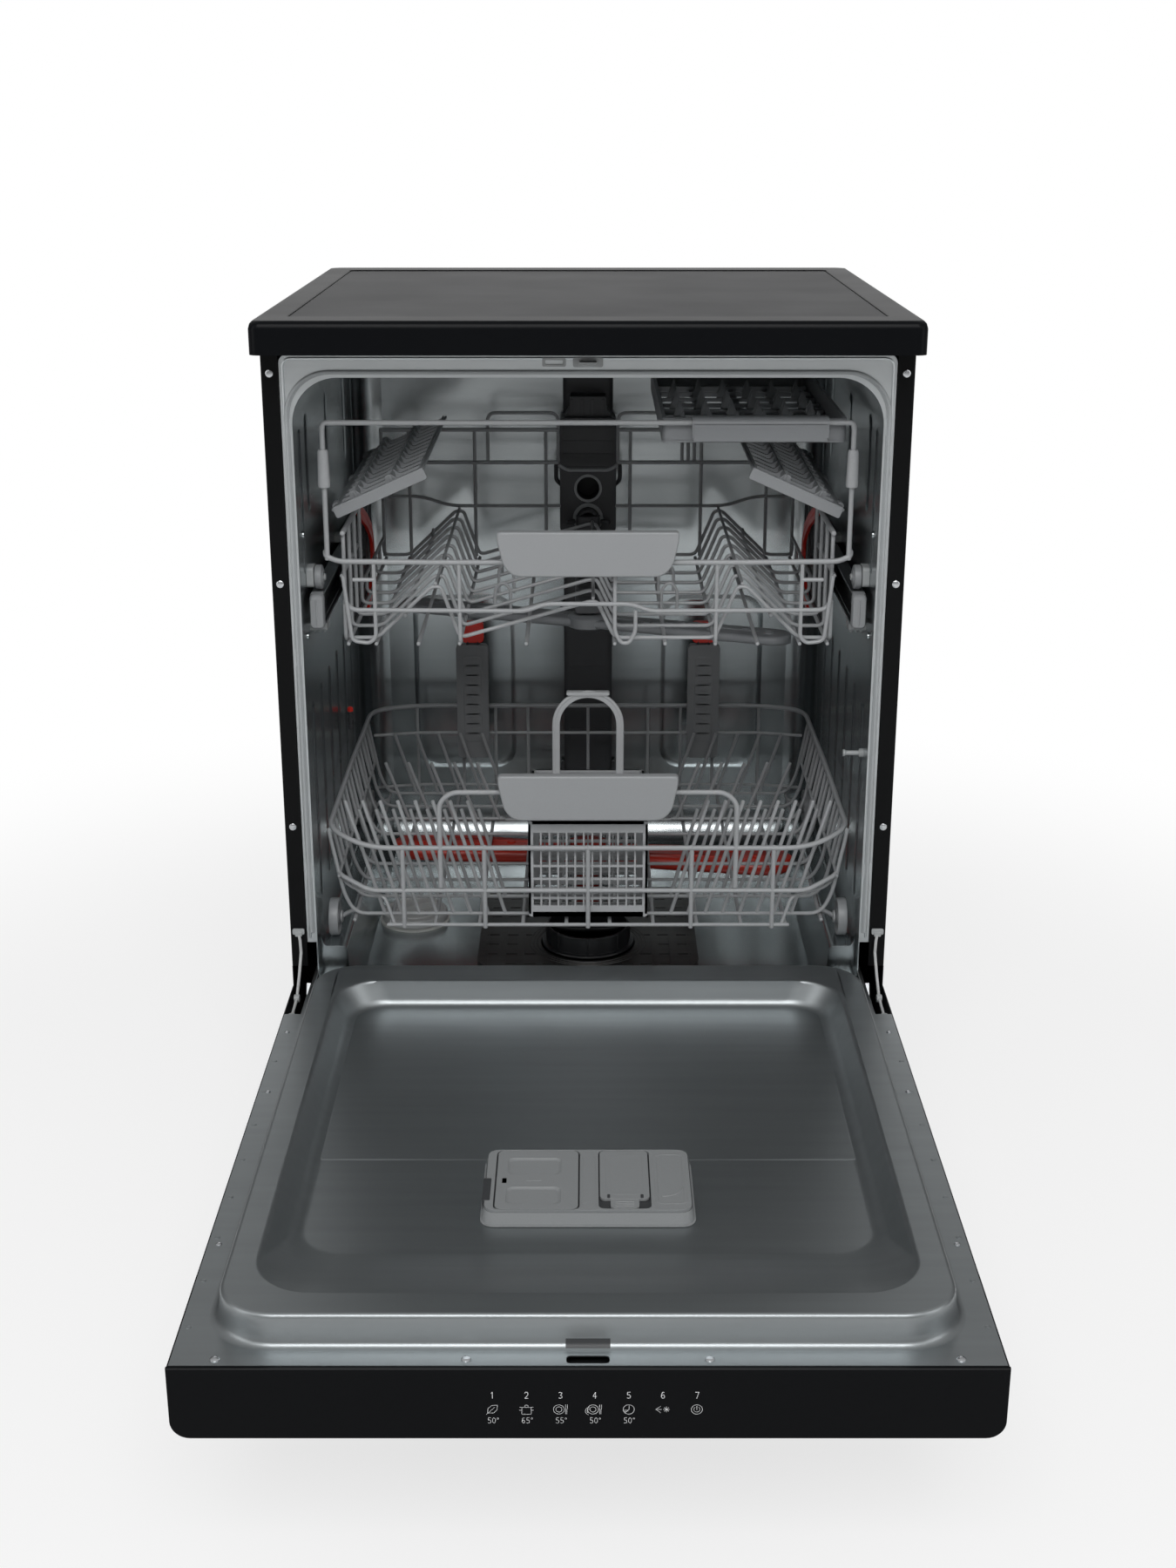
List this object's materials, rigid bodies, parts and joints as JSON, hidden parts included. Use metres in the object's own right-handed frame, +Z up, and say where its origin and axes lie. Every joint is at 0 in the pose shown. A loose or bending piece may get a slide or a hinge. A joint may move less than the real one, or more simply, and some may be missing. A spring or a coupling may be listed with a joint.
{
  "type": "dishwasher",
  "caption": "Free-standing full-size dishwasher with a worktop, a drop-down door on side hinges, two wire racks on wheels and rails, rotating spray arms and a detergent dispenser.",
  "frame": {"origin": "on the floor under the feet, on the middle line, in the plane of the worktop's front edge and the closed door's face", "axes": "+X to the viewer's right, the front faces -Y, +Z up; drawn with the door lowered and both racks pushed in"},
  "size_m": [0.6, 1.18, 0.85],
  "materials": {
    "worktop": "fine-grained near-black laminate",
    "worktop_rim": "satin moulded rim",
    "black_paint": "satin black enamel",
    "grey_sheet": "galvanised sheet, matt",
    "base_plastic": "moulded, matt",
    "foot_plastic": "moulded, matt",
    "zinc_steel": "zinc plated",
    "tub_steel": "brushed stainless steel",
    "liner_steel": "brushed stainless steel",
    "seal_rubber": "soft grey rubber",
    "fitting_plastic": "moulded, satin",
    "duct_plastic": "moulded, matt",
    "filter_mesh": "finely perforated sheet",
    "white_plastic": "moulded, matt",
    "pump_grey": "moulded, matt",
    "screw_steel": "bright steel",
    "filter_plastic": "moulded, satin",
    "cap_plastic": "moulded, satin",
    "roller_plastic": "moulded, satin",
    "arm_red": "moulded red, satin",
    "lever_red": "moulded red, satin",
    "arm_grey": "moulded, satin",
    "fascia_plastic": "glossy black",
    "window_plastic": "dark tinted, glossy",
    "board_green": "coated board",
    "dispenser_plastic": "moulded, satin",
    "dispenser_lid": "moulded, satin",
    "button_plastic": "glossy black",
    "cord_fibre": "braided cord and light plastic clip",
    "rail_steel": "rolled stainless steel",
    "carriage_plastic": "moulded, matt",
    "rack_coating": "grey nylon-coated wire",
    "handle_plastic": "moulded, satin",
    "shelf_plastic": "moulded, satin",
    "tray_plastic": "moulded, satin",
    "basket_plastic": "moulded, satin",
    "support_grey": "moulded, satin",
    "wheel_plastic": "moulded, satin"
  },
  "bodies": {
    "cabinet": {"worktop_board": "worktop", "worktop_frame": "worktop_rim", "side_panel_left": "black_paint", "side_panel_right": "black_paint", "back_panel": "grey_sheet", "base_tray": "base_plastic", "feet": "foot_plastic", "kick_plate": "black_paint", "hinge_brackets": "zinc_steel", "tub": "tub_steel", "door_seal": "seal_rubber", "tub_fittings": "fitting_plastic", "spray_duct": "duct_plastic", "filter_plate": "filter_mesh", "softener": "white_plastic", "sump": "base_plastic", "circulation_pump": "pump_grey", "water_intake": "white_plastic", "inlet_valve": "white_plastic", "drain_spigot": "foot_plastic", "cabinet_screws": "screw_steel"},
    "filter": {"filter_cup": "filter_plastic"},
    "salt_lid": {"salt_cap": "cap_plastic"},
    "rollers": {"rail_rollers": "roller_plastic"},
    "lower_arm": {"lower_spray_arm": "arm_red"},
    "door": {"door_outer_skin": "black_paint", "door_liner": "liner_steel", "control_fascia": "fascia_plastic", "display_window": "window_plastic", "control_board": "board_green", "dispenser_body": "dispenser_plastic", "door_latch": "foot_plastic", "hinge_arms": "zinc_steel", "door_screws": "screw_steel", "balance_cords": "cord_fibre"},
    "lid": {"detergent_lid": "dispenser_lid"},
    "flap": {"rinse_aid_flap": "dispenser_lid"},
    "button_power": {"power_button": "button_plastic"},
    "button_program": {"program_button": "button_plastic"},
    "button_start": {"start_button": "button_plastic"},
    "rails": {"upper_rails": "rail_steel"},
    "carriage": {"upper_carriage": "carriage_plastic"},
    "track_wheels": {"carriage_wheels": "roller_plastic"},
    "lever_left": {"adjuster_lever_left": "lever_red"},
    "lever_right": {"adjuster_lever_right": "lever_red"},
    "upper_rack": {"upper_basket": "rack_coating", "upper_rack_handle": "handle_plastic", "upper_feed_tube": "duct_plastic"},
    "upper_arm": {"upper_spray_arm": "arm_grey"},
    "shelf_left": {"cup_shelf_left": "shelf_plastic"},
    "shelf_right": {"cup_shelf_right": "shelf_plastic"},
    "tray": {"cutlery_tray": "tray_plastic"},
    "lower_rack": {"lower_basket": "rack_coating", "lower_rack_handle": "handle_plastic", "cutlery_basket": "basket_plastic", "support_panels": "support_grey"},
    "tines_left": {"tine_row_left": "rack_coating"},
    "tines_right": {"tine_row_right": "rack_coating"},
    "wheels_front": {"lower_wheels_front": "wheel_plastic"},
    "wheels_rear": {"lower_wheels_rear": "wheel_plastic"}
  },
  "joints": [
    {"name": "door_hinge", "type": "hinge", "parent": "cabinet", "child": "door", "pos_m": [0, 0.0485, 0.1795], "axis": [1, 0, 0], "range_deg": [-90, 0], "deforming": ["balance_cords"]},
    {"name": "upper_rack_slide", "type": "slide", "parent": "cabinet", "child": "carriage", "axis": [0, -1, 0], "range_m": [0, 0.38]},
    {"name": "upper_rail_slide", "type": "slide", "parent": "cabinet", "child": "rails", "axis": [0, -1, 0], "range_m": [0, 0.1901]},
    {"name": "rail_roller_spin", "type": "hinge", "parent": "cabinet", "child": "rollers", "pos_m": [0, 0.115, 0.5946], "axis": [1, 0, 0], "continuous": true},
    {"name": "track_wheel_spin", "type": "hinge", "parent": "carriage", "child": "track_wheels", "pos_m": [0, 0.305, 0.5655], "axis": [1, 0, 0], "continuous": true},
    {"name": "rack_height", "type": "slide", "parent": "carriage", "child": "upper_rack", "axis": [0, 0, 1], "range_m": [0, 0.035]},
    {"name": "height_lever_left", "type": "hinge", "parent": "upper_rack", "child": "lever_left", "pos_m": [-0.2444, 0.3, 0.62], "axis": [1, 0, 0], "range_deg": [0, 6], "stiffness_Nm_per_rad": 0.5},
    {"name": "height_lever_right", "type": "hinge", "parent": "upper_rack", "child": "lever_right", "pos_m": [0.2444, 0.3, 0.62], "axis": [1, 0, 0], "range_deg": [0, 6], "stiffness_Nm_per_rad": 0.5},
    {"name": "cup_shelf_left_fold", "type": "hinge", "parent": "upper_rack", "child": "shelf_left", "pos_m": [-0.246, 0, 0.661], "axis": [0, -1, 0], "range_deg": [-24, 60]},
    {"name": "cup_shelf_right_fold", "type": "hinge", "parent": "upper_rack", "child": "shelf_right", "pos_m": [0.246, 0, 0.661], "axis": [0, 1, 0], "range_deg": [-24, 12]},
    {"name": "tray_slide", "type": "slide", "parent": "upper_rack", "child": "tray", "axis": [-1, 0, 0], "range_m": [0, 0.12]},
    {"name": "upper_arm_spin", "type": "hinge", "parent": "upper_rack", "child": "upper_arm", "pos_m": [0, 0.298, 0.504], "axis": [0, 0, 1], "continuous": true},
    {"name": "lower_arm_spin", "type": "hinge", "parent": "cabinet", "child": "lower_arm", "pos_m": [0, 0.314, 0.23], "axis": [0, 0, 1], "continuous": true},
    {"name": "lower_rack_slide", "type": "slide", "parent": "cabinet", "child": "lower_rack", "axis": [0, -1, 0], "range_m": [0, 0.36]},
    {"name": "front_wheel_spin", "type": "hinge", "parent": "lower_rack", "child": "wheels_front", "pos_m": [0, 0.118, 0.2352], "axis": [1, 0, 0], "continuous": true},
    {"name": "rear_wheel_spin", "type": "hinge", "parent": "lower_rack", "child": "wheels_rear", "pos_m": [0, 0.455, 0.2352], "axis": [1, 0, 0], "continuous": true},
    {"name": "tine_fold_left", "type": "hinge", "parent": "lower_rack", "child": "tines_left", "pos_m": [-0.16, 0.368, 0.251], "axis": [1, 0, 0], "range_deg": [0, 84]},
    {"name": "tine_fold_right", "type": "hinge", "parent": "lower_rack", "child": "tines_right", "pos_m": [0.16, 0.368, 0.251], "axis": [1, 0, 0], "range_deg": [0, 84]},
    {"name": "filter_turn", "type": "hinge", "parent": "cabinet", "child": "filter", "pos_m": [0, 0.24, 0.12], "axis": [0, 0, 1], "range_deg": [0, 60]},
    {"name": "salt_cap_turn", "type": "hinge", "parent": "cabinet", "child": "salt_lid", "pos_m": [-0.197, 0.31, 0.15], "axis": [0, 0, 1], "range_deg": [0, 120]},
    {"name": "detergent_lid_hinge", "type": "hinge", "parent": "door", "child": "lid", "pos_m": [-0.008, -0.3535, 0.203], "axis": [0, 1, 0], "range_deg": [0, 100]},
    {"name": "rinse_aid_flap_hinge", "type": "hinge", "parent": "door", "child": "flap", "pos_m": [0.0295, -0.3076, 0.203], "axis": [-1, 0, 0], "range_deg": [0, 95]},
    {"name": "power_press", "type": "slide", "parent": "door", "child": "button_power", "axis": [0, 0, 1], "range_m": [0, 0.0015], "stiffness_N_per_m": 400},
    {"name": "program_press", "type": "slide", "parent": "door", "child": "button_program", "axis": [0, 0, 1], "range_m": [0, 0.0015], "stiffness_N_per_m": 400},
    {"name": "start_press", "type": "slide", "parent": "door", "child": "button_start", "axis": [0, 0, 1], "range_m": [0, 0.0015], "stiffness_N_per_m": 400}
  ],
  "couplings": [
    {"joint": "upper_rail_slide", "follows": "upper_rack_slide", "ratio": 0.5},
    {"joint": "rail_roller_spin", "follows": "upper_rack_slide", "rad_per_m": -41.667},
    {"joint": "track_wheel_spin", "follows": "upper_rack_slide", "rad_per_m": 36.765},
    {"joint": "front_wheel_spin", "follows": "lower_rack_slide", "rad_per_m": 51.282},
    {"joint": "rear_wheel_spin", "follows": "lower_rack_slide", "rad_per_m": 51.282}
  ]
}
